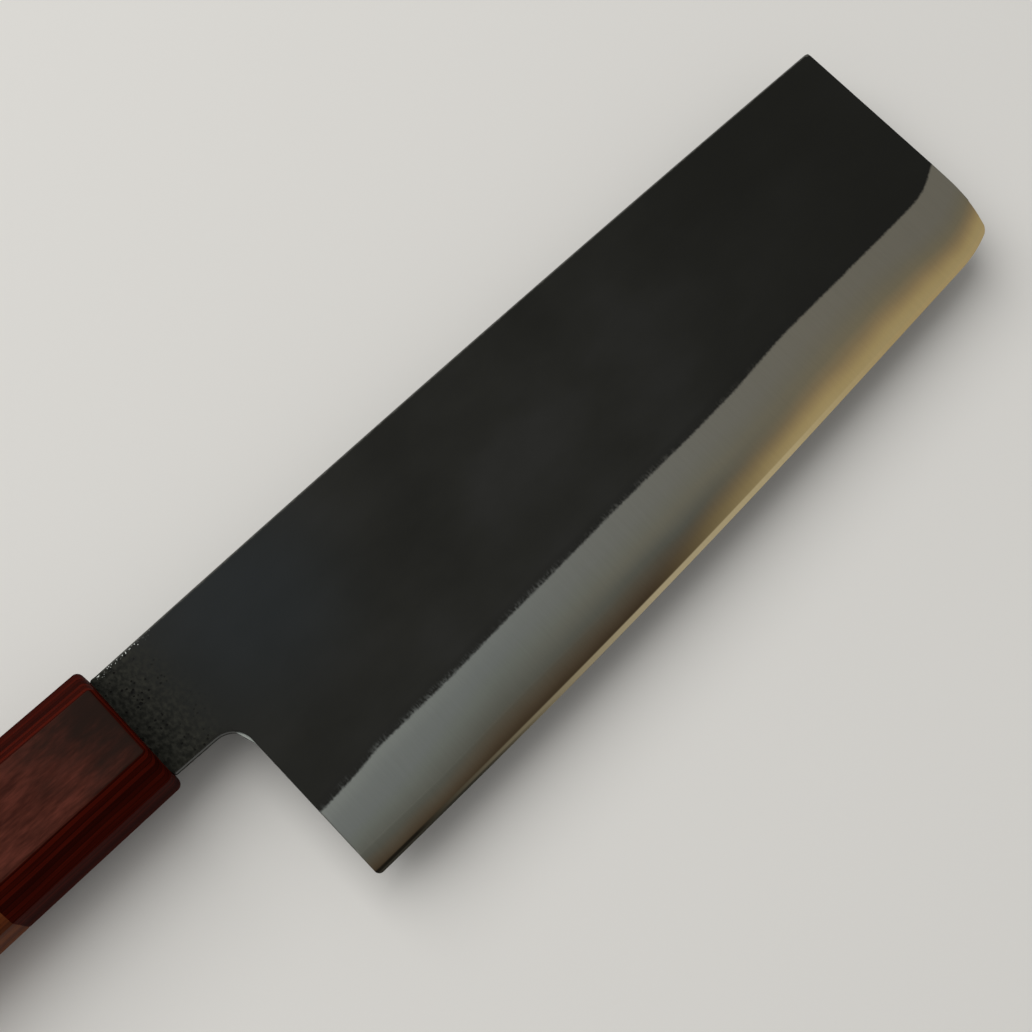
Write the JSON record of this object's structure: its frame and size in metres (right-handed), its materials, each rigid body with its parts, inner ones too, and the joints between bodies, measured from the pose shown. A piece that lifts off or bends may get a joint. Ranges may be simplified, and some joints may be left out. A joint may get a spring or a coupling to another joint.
{
  "type": "nakiri knife",
  "caption": "Straight-edged vegetable knife: deep laminated blade with black forged flats and ground bevels, hidden tang, octagonal wooden handle with a ferrule.",
  "frame": {"origin": "under the middle of the whole knife, at its lowest face, with the knife lying on its left side", "axes": "+X towards the tip, +Y towards the spine, +Z out of the blade's right side"},
  "size_m": [0.3086, 0.0586, 0.0218],
  "materials": {
    "core_steel": "satin ground",
    "cladding_iron": "black forge scale above a satin ground bevel",
    "laminated_wood": "polished, resin laminated",
    "handle_wood": "oiled satin",
    "dowel_wood": "bare",
    "bedding_resin": "cured, smooth"
  },
  "bodies": {
    "root": {"blade_core": "core_steel", "cladding_right": "cladding_iron", "cladding_left": "cladding_iron", "ferrule": "laminated_wood", "handle_body": "handle_wood", "tang_dowel": "dowel_wood", "tang_adhesive": "bedding_resin"}
  },
  "joints": []
}
